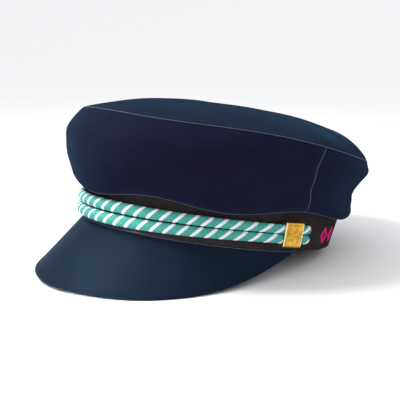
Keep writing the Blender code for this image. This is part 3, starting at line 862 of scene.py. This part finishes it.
def box_outline(low_out, high_out, low, high, corner):
    """A box section as a closed outline with round corners, and which way each point faces.

    Each corner is a quarter circle, and each side is divided evenly between two corners, so that
    a box of any size has as many points.
    """
    turn = np.linspace(0, math.pi / 2, 7)
    corners = (
        # middle of the corner's circle, where its turn starts, steps along the side beyond it
        (high_out - corner, low + corner, -math.pi / 2, 30),
        (high_out - corner, high - corner, 0, 10),
        (low_out + corner, high - corner, math.pi / 2, 16),
        (low_out + corner, low + corner, math.pi, 10),
    )
    arcs = []
    for centre_out, centre_height, start, steps in corners:
        angle = start + turn
        arcs.append((np.column_stack([
            centre_out + corner * np.cos(angle), centre_height + corner * np.sin(angle),
        ]), angle, steps))
    outline, facing = [], []
    for index, (arc, angle, steps) in enumerate(arcs):
        beyond = arcs[(index + 1) % len(arcs)][0][0]
        share = np.linspace(0, 1, steps + 1)[1:-1, None]
        outline += [arc, arc[-1] + (beyond - arc[-1]) * share]
        facing += [angle, np.full(steps - 1, angle[-1])]
    outline, facing = np.concatenate(outline), np.concatenate(facing)
    outline = np.concatenate([outline, outline[:1]])
    facing = np.concatenate([facing, facing[:1]])
    return outline, facing


def crumple(across, up, seed):
    """Creased relief from 0 to about 1: folded sines, so that flats meet in sharp ridges."""
    draw = np.random.default_rng(seed)
    total = 0
    for _ in range(CREASES):
        turn = draw.uniform(0, math.pi)
        wave = math.pi / (draw.uniform(*CREASE_LENGTHS) * MM)
        phase = draw.uniform(0, math.pi)
        total = total + np.abs(
            np.sin(wave * (across * math.cos(turn) + up * math.sin(turn)) + phase)
        )
    return total / CREASES


def clasp(name, side, material):
    """A gold sleeve round both strands: a raised rim at its edges and a crumpled face within.

    Its profile runs along the outside, round a lip, back along the inside and round the other lip.
    The section is a box outline that shrinks from the outside to the inside round each lip.
    """
    half_inside = 2 * CORD_RADIUS_CLASPED + SEAT_GAP / 2 + SEAT_GAP
    depth_inside = 2 * cord_depth(CLASP_ANGLE) + 2 * SEAT_GAP
    middle = cord_middle(CLASP_ANGLE)
    back = SEAT_GAP + band_face(middle, CLASP_ANGLE)
    outside, facing = box_outline(
        back, back + depth_inside + 2 * CLASP_PLATE,
        middle - half_inside - CLASP_CHEEK, middle + half_inside + CLASP_CHEEK, CLASP_CORNER,
    )
    inside, _ = box_outline(
        back + CLASP_PLATE, back + CLASP_PLATE + depth_inside,
        middle - half_inside, middle + half_inside, CLASP_CORNER / 2,
    )
    along_out = np.linspace(CLASP_LIP, CLASP_LENGTH - CLASP_LIP, CLASP_COLUMNS)
    along_in = along_out[::-4]
    turn = np.linspace(0, math.pi, 9)[1:-1]
    along = np.concatenate([
        along_out,
        CLASP_LENGTH - CLASP_LIP + CLASP_LIP * np.sin(turn),
        along_in,
        CLASP_LIP - CLASP_LIP * np.sin(turn),
        along_out[:1],
    ])
    inward = np.concatenate([
        np.zeros(CLASP_COLUMNS),
        (1 - np.cos(turn)) / 2,
        np.ones(len(along_in)),
        (1 + np.cos(turn)) / 2,
        np.zeros(1),
    ])
    section = outside[:, None] + (inside - outside)[:, None] * inward[None, :, None]
    to_end = np.minimum(along, CLASP_LENGTH - along)
    to_edge = half_inside + CLASP_CHEEK - np.abs(section[..., 1] - middle)
    to_rim = np.minimum(to_end + 0 * to_edge, to_edge)
    within = ease((to_rim - CLASP_RIM_WIDTH) / CLASP_RIM_SLOPE)
    on_face = ease((np.cos(facing) - 0.5) * 2)[:, None]
    outer = (inward == 0)[None, :]
    creases = CLASP_CRUMPLE * crumple(along[None, :], section[..., 1], 11) * within
    sunk = CLASP_RELIEF * (CLASP_RIM * within + creases)
    rounding = CLASP_RIM_ROUND * (1 - ease(to_rim / CLASP_RIM_WIDTH))
    depth = (sunk + rounding) * on_face * outer
    reach = section[..., 0] - depth * np.cos(facing)[:, None]
    height = section[..., 1] - depth * np.sin(facing)[:, None]
    lean = BAND_FLARE / BAND_HEIGHT
    turned = along / CLASP_LENGTH * 2 - 1
    alpha = side * (CLASP_ANGLE + clasp_half_angle() * turned)
    points = ring(alpha, reach + lean * (height - middle), height)
    around = np.broadcast_to(run_along(outside)[:, None], points.shape[:2])
    uv = np.stack([np.broadcast_to(along, around.shape), around], axis=-1)
    return make_piece(
        name + "_gold", [(stood(points), uv)], material, [name],
        sharp=math.radians(55),
    )


def piping_along(name, path, facing, material):
    """Fine piping along a path: a round section with the two shallow grooves of its twist.

    Its radius is PIPING, less a share that the sine of the turn round it tells, and the turn runs
    on by one round in each PIPING_TWIST along the path.
    """
    forward = np.gradient(path, axis=0)
    forward /= np.linalg.norm(forward, axis=1, keepdims=True)
    beside = np.cross(forward, facing)
    beside /= np.linalg.norm(beside, axis=1, keepdims=True)
    outward = np.cross(beside, forward)
    turn = np.linspace(0, 2 * math.pi, PIPING_SIDES + 1)[:, None]
    length = run_along(path)
    to_end = np.minimum(length, length[-1] - length)
    ends = 1.0 if np.allclose(path[0], path[-1]) else np.sqrt(ease(to_end / PIPING))
    twist = np.abs(np.sin(turn - 2 * math.pi * length / PIPING_TWIST))
    size = PIPING * (1 - PIPING_GROOVE * (1 - twist)) * ends
    points = (
        path
        + (size * np.cos(turn))[..., None] * outward
        + (size * np.sin(turn))[..., None] * beside
    )
    uv = np.stack(np.broadcast_arrays(length, turn / (2 * math.pi)), axis=-1)
    return make_piece(name, [(stood(points), uv)], material)


def stitch_row(name, path, facing, length, material):
    """A row of stitches along a path: each one a small ellipsoid, laid half into the cloth.

    The path is read at even steps of a stitch and STITCH_GAP. A stitch's points are its middle,
    plus the sine of its latitude along the path, plus the cosine across it and out of it.
    """
    run = run_along(path)
    count = int(run[-1] / (length + STITCH_GAP))
    at = (np.arange(count) + 0.5) * run[-1] / count
    middle = read_at(at, run, path)
    outward = read_at(at, run, facing)
    forward = read_at(at, run, np.gradient(path, run, axis=0))
    forward /= np.linalg.norm(forward, axis=1, keepdims=True)
    beside = np.cross(forward, outward)
    beside /= np.linalg.norm(beside, axis=1, keepdims=True)
    latitude = np.linspace(-math.pi / 2, math.pi / 2, 7)[:, None]
    turn = np.linspace(0, 2 * math.pi, 7)[None, :]
    grids = []
    for place, ahead_one, out_one, beside_one in zip(middle, forward, outward, beside):
        points = (
            place
            + (length / 2 * np.sin(latitude) + 0 * turn)[..., None] * ahead_one
            + (THREAD * np.cos(latitude) * np.cos(turn))[..., None] * out_one
            + (THREAD * np.cos(latitude) * np.sin(turn))[..., None] * beside_one
        )
        uv = np.stack(np.broadcast_arrays(latitude + 0 * turn, turn + 0 * latitude), axis=-1)
        grids.append((stood(points), uv * MM))
    return make_piece(name, grids, material)


def seams(piping, thread):
    """Piping in the top seam, the side seams, the hem and the peak's joint, and the stitches."""
    alpha = all_angles(4 * PANEL_COLUMNS)
    outer, _ = side_outer(alpha)
    seam, mitre, _, _ = seam_corner(alpha)
    inward = mitre / np.hypot(*mitre)
    sunk = seam[:2] + inward * PIPING_SUNK
    facing = ring(alpha, -inward[0], -inward[1]) - ring(alpha, 0, 0)
    piping_along("top_seam_welt", ring(alpha, sunk[0], sunk[1], seam[2]), facing, piping)

    lowest = outer[2 + FOLD_ROWS + 1]
    facing = ring(alpha, 0.5, -1) - ring(alpha, 0, 0)
    piping_along("hem_welt", ring(alpha, lowest[0], lowest[1]), facing, piping)

    up = outer[HEM_STITCH_ROW - SIDE_ROWS]
    beyond = outer[HEM_STITCH_ROW + 1 - SIDE_ROWS]
    rise = (beyond - up)[:2] / np.hypot(*(beyond - up)[:2])
    facing = ring(alpha, rise[1], -rise[0]) - ring(alpha, 0, 0)
    line = ring(alpha, up[0], up[1], up[2])
    stitch_row("hem_stitches", line, facing, HEM_STITCH, thread)

    for name, angle in (("side_seam_welt_left", SIDE_SEAM), ("side_seam_welt_right", -SIDE_SEAM)):
        column, _ = side_outer(np.array([angle]))
        line = ring(np.array([angle]), column[1:, 0], column[1:, 1], column[1:, 2])[:, 0]
        line = line[FOLD_ROWS:]
        ahead = np.gradient(column[FOLD_ROWS + 1:, :2, 0], axis=0)
        ahead /= np.linalg.norm(ahead, axis=1, keepdims=True)
        facing = ring(angle, ahead[:, 1], -ahead[:, 0]) - ring(angle, 0, 0)
        steps = run_along(line)
        even = np.linspace(0, steps[-1], SIDE_PIPING_ROWS)
        line, facing = read_at(even, steps, line), read_at(even, steps, facing)
        piping_along(name, line - facing * (VALLEY * SIDE_PIPING_SUNK), facing, piping)

    _, length, root, down, under = peak_frame(4 * PANEL_COLUMNS)
    joint = peak_points(JOINT_PIPING_DOWN, -JOINT_PIPING_PROUD + 0 * length, root, down, under)
    piping_along("peak_joint_welt", joint, -under, piping)
    inset = length - PEAK_WALL / 2 - PEAK_TAPE - np.minimum(STITCHES_IN, 0.5 * length)
    line = peak_points(inset, -PEAK_TAPE + 0 * length, root, down, under)
    stitch_row("peak_stitches", line, -under, PEAK_STITCH, thread)


def band_mark(material):
    """Two upright lozenges in satin stitch on the band: generic, and open in the middle.

    Each is a flat oval thread carried round a lozenge, whose points are x = width cos(t) |cos(t)|
    and y = height sin(t) |sin(t)|, and fine ridges cross it.
    """
    grids = []
    turn = np.linspace(0, 2 * math.pi, 361)
    for shift in (-MARK_STEP / 2, MARK_STEP / 2):
        across = MARK_HALF_WIDTH * np.cos(turn) * np.abs(np.cos(turn))
        up = MARK_HALF_HEIGHT * np.sin(turn) * np.abs(np.sin(turn))
        length = run_along(np.column_stack([across, up]))
        even = np.linspace(0, length[-1], 481)
        across, up = np.interp(even, length, across), np.interp(even, length, up)
        ahead = np.column_stack([np.gradient(across), np.gradient(up)])
        ahead /= np.linalg.norm(ahead, axis=1, keepdims=True)
        ridge = 1 + MARK_RIDGE * np.sin(2 * math.pi * even / MARK_RIDGE_PITCH)
        wobble = 1 + MARK_WOBBLE * np.sin(2 * math.pi * even / MARK_WOBBLE_PITCH)
        round_it = np.linspace(0, 2 * math.pi, 17)[:, None]
        wide = MARK_THREAD * wobble * np.cos(round_it)
        proud = MARK_RELIEF * ridge * np.sin(round_it)
        place = shift + across - wide * ahead[:, 1]
        height = MARK_RISE + up + wide * ahead[:, 0]
        alpha = MARK_ANGLE + place / (BAND_LENGTH / 2)
        points = ring(alpha, band_face(height, alpha) + proud, height)
        uv = np.stack(np.broadcast_arrays(even + 0 * round_it, round_it * MM + 0 * even), axis=-1)
        grids.append((stood(points), uv))
    return make_piece("band_mark", grids, material)


def new_material(name, colour, roughness, metallic=0.0, gloss=0.5, gloss_tint=(1, 1, 1),
                 sheen=0.0, sheen_tint=(1, 1, 1)):
    """A Principled material with its even values set on its own sockets, and its shader."""
    material = bpy.data.materials.new(name)
    material.use_nodes = True
    shader = material.node_tree.nodes["Principled BSDF"]
    shader.inputs["Base Color"].default_value = (*colour, 1)
    shader.inputs["Roughness"].default_value = roughness
    shader.inputs["Metallic"].default_value = metallic
    shader.inputs["Specular IOR Level"].default_value = gloss
    shader.inputs["Specular Tint"].default_value = (*gloss_tint, 1)
    shader.inputs["Sheen Weight"].default_value = sheen
    shader.inputs["Sheen Roughness"].default_value = 0.5
    shader.inputs["Sheen Tint"].default_value = (*sheen_tint, 1)
    return material, shader


def add_node(material, kind, **values):
    """One node of a kind, with its settings and the values of its sockets."""
    node = material.node_tree.nodes.new(kind)
    for name, value in values.items():
        if name in node.inputs:
            node.inputs[name].default_value = value
        else:
            setattr(node, name, value)
    return node


def link(material, source, output, target, socket):
    """A link from one node's output to another's socket."""
    material.node_tree.links.new(source.outputs[output], target.inputs[socket])


def two_tones(material, tones, source, output):
    """A ramp from the darker to the lighter of two tones, over the middle of a node's output."""
    ramp = add_node(material, "ShaderNodeValToRGB")
    for element, position, tone in zip(ramp.color_ramp.elements, (0.3, 0.7), tones):
        element.position = position
        element.color = (*tone, 1)
    link(material, source, output, ramp, "Fac")
    return ramp


def mottled(material, shader, tones, scale, source):
    """Base colour that drifts between two tones with noise."""
    noise = add_node(material, "ShaderNodeTexNoise", Scale=scale, Detail=6.0, Roughness=0.65)
    link(material, source, "Object", noise, "Vector")
    ramp = two_tones(material, tones, noise, "Fac")
    link(material, ramp, "Color", shader, "Base Color")
    return ramp


def blended(material, shader, share, under, over):
    """Base colour that goes from one node's colour to another's with a share."""
    blend = add_node(material, "ShaderNodeMix", data_type="RGBA")
    colours = [socket for socket in blend.inputs if socket.type == "RGBA"]
    material.node_tree.links.new(share[0].outputs[share[1]], blend.inputs["Factor"])
    material.node_tree.links.new(under.outputs["Color"], colours[0])
    material.node_tree.links.new(over.outputs["Color"], colours[1])
    mixed = next(socket for socket in blend.outputs if socket.type == "RGBA")
    material.node_tree.links.new(mixed, shader.inputs["Base Color"])


def math_node(material, operation, first, second=None, third=None):
    """A Math node whose inputs are numbers, or pairs of a node and its output's name."""
    node = add_node(material, "ShaderNodeMath", operation=operation)
    for index, value in enumerate((first, second, third)):
        if value is None:
            continue
        if isinstance(value, tuple):
            material.node_tree.links.new(value[0].outputs[value[1]], node.inputs[index])
        else:
            node.inputs[index].default_value = value
    return node, "Value"


def thread_wave(material, split, axis, pitch):
    """Rounded ridges across one axis of the UV map: half of 1 + the sine of the distance."""
    turned = math_node(material, "MULTIPLY", (split, axis), 2 * math.pi / pitch)
    sine = math_node(material, "SINE", turned)
    return math_node(material, "MULTIPLY_ADD", sine, 0.5, 0.5)


def bump(material, shader, height, strength, distance):
    """A bump of a height on the shader's normal."""
    node = add_node(material, "ShaderNodeBump", Strength=strength, Distance=distance)
    link(material, height[0], height[1], node, "Height")
    link(material, node, "Normal", shader, "Normal")


def navy_wool():
    """Fine wool cloth: crossed thread ridges from the UV map, a fuzzy nap and drifting tone."""
    material, shader = new_material(
        "navy_wool", WOOL_TONES[1], 0.9, gloss=0.0, sheen=0.085, sheen_tint=WOOL_SHEEN
    )
    source = add_node(material, "ShaderNodeTexCoord")
    split = add_node(material, "ShaderNodeSeparateXYZ")
    link(material, source, "UV", split, "Vector")
    mottled(material, shader, WOOL_TONES, 55.0, source)
    warp = thread_wave(material, split, "X", WEAVE_PITCH)
    weft = thread_wave(material, split, "Y", WEAVE_PITCH)
    weave = math_node(material, "MULTIPLY", warp, weft)
    nap = add_node(material, "ShaderNodeTexNoise", Scale=1400.0, Detail=4.0, Roughness=0.7)
    link(material, source, "Object", nap, "Vector")
    height = math_node(material, "MULTIPLY_ADD", (nap, "Fac"), 0.8, weave)
    bump(material, shader, height, 0.55, WEAVE_RELIEF)
    return material


def ribbed_ribbon():
    """Grosgrain: round ribs that run up the band, close together, with a faint fleck."""
    material, shader = new_material("ribbed_ribbon", RIBBON_TONES[1], 0.8, gloss=0.0)
    source = add_node(material, "ShaderNodeTexCoord")
    split = add_node(material, "ShaderNodeSeparateXYZ")
    link(material, source, "UV", split, "Vector")
    mottled(material, shader, RIBBON_TONES, 90.0, source)
    ribs = thread_wave(material, split, "X", RIB_PITCH)
    fleck = add_node(material, "ShaderNodeTexNoise", Scale=1800.0, Detail=3.0)
    link(material, source, "Object", fleck, "Vector")
    height = math_node(material, "MULTIPLY_ADD", (fleck, "Fac"), 0.5, ribs)
    bump(material, shader, height, 0.6, RIB_RELIEF)
    return material


def peak_leather():
    """Fine smooth leather: cells of grain, shallow pores and a satin face with a bluish bloom."""
    material, shader = new_material(
        "peak_leather", LEATHER_TONES[1], 0.5, gloss=0.012, gloss_tint=LEATHER_GLOSS,
        sheen=0.10, sheen_tint=LEATHER_SHEEN,
    )
    source = add_node(material, "ShaderNodeTexCoord")
    mottled(material, shader, LEATHER_TONES, 40.0, source)
    grain = add_node(material, "ShaderNodeTexVoronoi", Scale=1100.0, feature="DISTANCE_TO_EDGE")
    link(material, source, "Object", grain, "Vector")
    fine = add_node(material, "ShaderNodeTexNoise", Scale=500.0, Detail=5.0)
    link(material, source, "Object", fine, "Vector")
    height = math_node(material, "MULTIPLY_ADD", (grain, "Distance"), 1.2, (fine, "Fac"))
    bump(material, shader, height, 0.25, GRAIN_RELIEF)
    return material


def striped_cord():
    """Twisted cord: teal and white plies by the same rule as the cord's shape, with fine yarn."""
    material, shader = new_material("striped_cord", TEAL_TONES[1], 0.8, gloss=0.1)
    source = add_node(material, "ShaderNodeTexCoord")
    split = add_node(material, "ShaderNodeSeparateXYZ")
    link(material, source, "UV", split, "Vector")
    turns = math_node(material, "MULTIPLY", (split, "X"), -1 / CORD_PITCH)
    plies = math_node(material, "ADD", (split, "Y"), turns)
    within = math_node(material, "FRACT", plies)
    white = math_node(material, "LESS_THAN", within, WHITE_SHARE)
    fibre = add_node(material, "ShaderNodeTexNoise", Scale=420.0, Detail=5.0, Roughness=0.7)
    link(material, source, "Object", fibre, "Vector")
    teal = two_tones(material, TEAL_TONES, fibre, "Fac")
    pale = two_tones(material, WHITE_TONES, fibre, "Fac")
    blended(material, shader, white, teal, pale)
    ridges = math_node(material, "MULTIPLY", plies, 2 * math.pi * YARNS)
    sine = math_node(material, "SINE", ridges)
    height = math_node(material, "MULTIPLY_ADD", sine, 0.5, (fibre, "Fac"))
    bump(material, shader, height, 0.5, YARN_RELIEF)
    return material


def beaten_gold():
    """Warm brass, worn to a slightly uneven polish; its drifting tone is partly painted reflection
    and its ends a painted highlight.
    """
    material, shader = new_material("beaten_gold", GOLD_TONES_AND_REFLECTIONS[1], 0.32, 1.0)
    source = add_node(material, "ShaderNodeTexCoord")
    # Base colour drifting between dark and light gold: partly tone, partly painted reflection
    # patches
    tone = mottled(material, shader, GOLD_TONES_AND_REFLECTIONS, 150.0, source)
    split = add_node(material, "ShaderNodeSeparateXYZ")
    link(material, source, "UV", split, "Vector")
    from_middle = math_node(
        material, "ABSOLUTE", math_node(material, "ADD", (split, "X"), -CLASP_LENGTH / 2)
    )
    # Painted highlight: the metal near each end of the clasp is made paler, as if its rim caught
    # the light
    highlight_ends = math_node(material, "GREATER_THAN", from_middle, CLASP_LENGTH / 2 - CLASP_HIGHLIGHT_WIDTH)
    pale = add_node(material, "ShaderNodeRGB")
    pale.outputs["Color"].default_value = (*GOLD_PAINTED_HIGHLIGHT, 1)
    blended(material, shader, highlight_ends, tone, pale)
    worn = add_node(material, "ShaderNodeTexNoise", Scale=260.0, Detail=4.0)
    link(material, source, "Object", worn, "Vector")
    rough = add_node(material, "ShaderNodeMapRange")
    rough.inputs["To Min"].default_value = 0.18
    rough.inputs["To Max"].default_value = 0.42
    link(material, worn, "Fac", rough, "Value")
    link(material, rough, "Result", shader, "Roughness")
    scratch = add_node(material, "ShaderNodeTexNoise", Scale=900.0, Detail=6.0)
    link(material, source, "Object", scratch, "Vector")
    bump(material, shader, (scratch, "Fac"), 0.2, SCRATCH_RELIEF)
    return material


def sewing_thread(name, colour):
    """Sewing thread: a faint fuzz, and a tone that drifts by a quarter."""
    material, shader = new_material(name, colour, 0.6, gloss=0.1)
    source = add_node(material, "ShaderNodeTexCoord")
    fuzz = add_node(material, "ShaderNodeTexNoise", Scale=1500.0, Detail=3.0)
    link(material, source, "Object", fuzz, "Vector")
    dark = tuple(0.75 * part for part in colour)
    mottled(material, shader, (dark, colour), 700.0, source)
    bump(material, shader, (fuzz, "Fac"), 0.4, FUZZ_RELIEF)
    return material


def camera():
    """The photograph's view: a place on a ball round the target, looking at it, a little rolled."""
    side = np.array([math.cos(VIEW_ROUND), math.sin(VIEW_ROUND), 0])
    back = np.array([
        math.sin(VIEW_ROUND) * math.cos(VIEW_ABOVE),
        -math.cos(VIEW_ROUND) * math.cos(VIEW_ABOVE),
        math.sin(VIEW_ABOVE),
    ])
    up = np.cross(back, side)
    right = side * math.cos(VIEW_ROLL) + up * math.sin(VIEW_ROLL)
    above = up * math.cos(VIEW_ROLL) - side * math.sin(VIEW_ROLL)
    eye = TARGET_SIDE * side + np.array([0, 0, TARGET_UP]) + PLACE + VIEW_DISTANCE * back
    data = bpy.data.cameras.new("camera")
    data.sensor_width = SENSOR
    data.lens = VIEW_FOCAL * SENSOR / VIEW_SIDE
    data.clip_start = 0.01
    shot = bpy.data.objects.new("camera", data)
    matrix = Matrix.Identity(4)
    for row in range(3):
        matrix[row][0], matrix[row][1] = right[row], above[row]
        matrix[row][2], matrix[row][3] = back[row], eye[row]
    shot.matrix_world = matrix
    bpy.context.scene.collection.objects.link(shot)
    bpy.context.scene.camera = shot


def area_light(name, place, aim, size, power, colour, spread):
    """A square soft light at a place, turned to its aim, with a beam of this spread."""
    data = bpy.data.lights.new(name, "AREA")
    data.shape = "SQUARE"
    data.size = size
    data.energy = power
    data.spread = spread
    data.color = colour
    light = bpy.data.objects.new(name, data)
    light.location = place
    towards = np.array(aim) - np.array(place)
    light.rotation_euler = Vector(towards).to_track_quat("-Z", "Y").to_euler()
    bpy.context.scene.collection.objects.link(light)


def studio():
    """A pale dish of a floor that rises softly far away, soft lights and an even pale sky."""
    radius = np.concatenate([
        np.linspace(0, FLOOR_FLAT, 12), np.linspace(FLOOR_NEXT, FLOOR_REACH, 24),
    ])
    turn = np.linspace(0, 2 * math.pi, 97)
    rise = FLOOR_RISE * ease((radius - FLOOR_FLAT) / FLOOR_BEND)
    points = np.stack([
        radius[:, None] * np.cos(turn), radius[:, None] * np.sin(turn),
        np.broadcast_to(rise[:, None], (len(radius), len(turn))),
    ], axis=-1)
    rows, columns = points.shape[:2]
    row, column = np.mgrid[0:rows - 1, 0:columns - 1]
    here = (row * columns + column).reshape(-1)
    quads = np.stack([here, here + columns, here + columns + 1, here + 1], axis=-1)
    mesh = bpy.data.meshes.new("floor")
    mesh.from_pydata(points.reshape(-1, 3).tolist(), [], quads.tolist())
    mesh.shade_smooth()
    material, _ = new_material("pale_floor", FLOOR_COLOUR, 0.9, gloss=0.0)
    mesh.materials.append(material)
    floor = bpy.data.objects.new("floor", mesh)
    bpy.context.scene.collection.objects.link(floor)
    world = bpy.data.worlds.new("sky")
    world.use_nodes = True
    sky = world.node_tree.nodes["Background"]
    sky.inputs["Color"].default_value = (*SKY_COLOUR, 1)
    sky.inputs["Strength"].default_value = SKY_STRENGTH
    bpy.context.scene.world = world
    bpy.context.scene.view_settings.view_transform = "Standard"
    area_light("key", KEY_PLACE, KEY_AIM, KEY_SIZE, KEY_POWER, KEY_COLOUR, KEY_SPREAD)
    area_light("peak_light", LOW_PLACE, LOW_AIM, LOW_SIZE, LOW_POWER, LOW_COLOUR, LOW_SPREAD)


navy = navy_wool()
leather = peak_leather()
piping = sewing_thread("seam_piping", PIPING_COLOUR)
navy_thread = sewing_thread("navy_thread", THREAD_COLOUR)
magenta_thread = sewing_thread("magenta_thread", MAGENTA)
gold = beaten_gold()
rope = striped_cord()

camera()
studio()
crown_top(navy)
crown_side("crown_front", -SIDE_SEAM, SIDE_SEAM, 1, navy)
crown_side("crown_back", SIDE_SEAM, 2 * math.pi - SIDE_SEAM, 2, navy)
band(ribbed_ribbon())
peak(leather)
cord("cord_upper", 1, rope)
cord("cord_lower", -1, rope)
clasp("clasp_left", 1, gold)
clasp("clasp_right", -1, gold)
seams(piping, navy_thread)
band_mark(magenta_thread)
